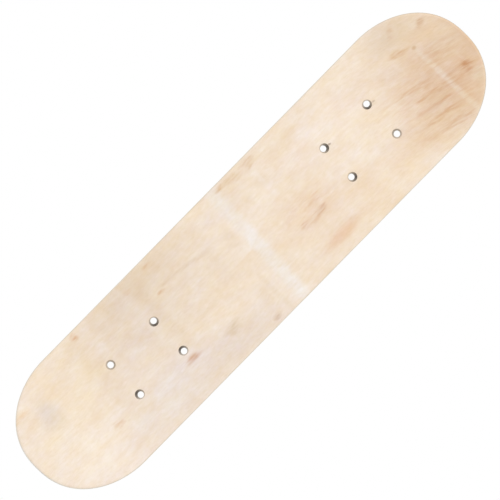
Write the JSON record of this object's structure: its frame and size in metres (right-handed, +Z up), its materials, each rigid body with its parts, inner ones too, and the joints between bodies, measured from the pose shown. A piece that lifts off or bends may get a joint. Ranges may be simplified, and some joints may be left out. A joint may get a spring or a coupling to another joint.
{
  "type": "skateboard deck",
  "caption": "Blank kicked skateboard deck: cross-laminated wood sheets pressed to a concave, rounded over and drilled with countersunk truck bolt holes.",
  "frame": {"origin": "on the ground under the middle of the deck, on the plane of the flat underside between the kicks", "axes": "+X along the deck towards the nose, which is the end that reaches further past its bolts; +Z up out of the riding face; +Y across the deck"},
  "size_m": [0.6302, 0.149, 0.0359],
  "materials": {
    "face_veneer": "bare, fine sanded",
    "long_core_veneer": "bare, sanded at the edge",
    "crossband_veneer": "bare, sanded at the edge"
  },
  "bodies": {
    "root": {"top_face_veneer": "face_veneer", "upper_outer_crossband": "crossband_veneer", "upper_long_core": "long_core_veneer", "upper_inner_crossband": "crossband_veneer", "centre_long_core": "long_core_veneer", "lower_inner_crossband": "crossband_veneer", "lower_long_core": "long_core_veneer", "lower_outer_crossband": "crossband_veneer", "bottom_face_veneer": "face_veneer"}
  },
  "joints": []
}
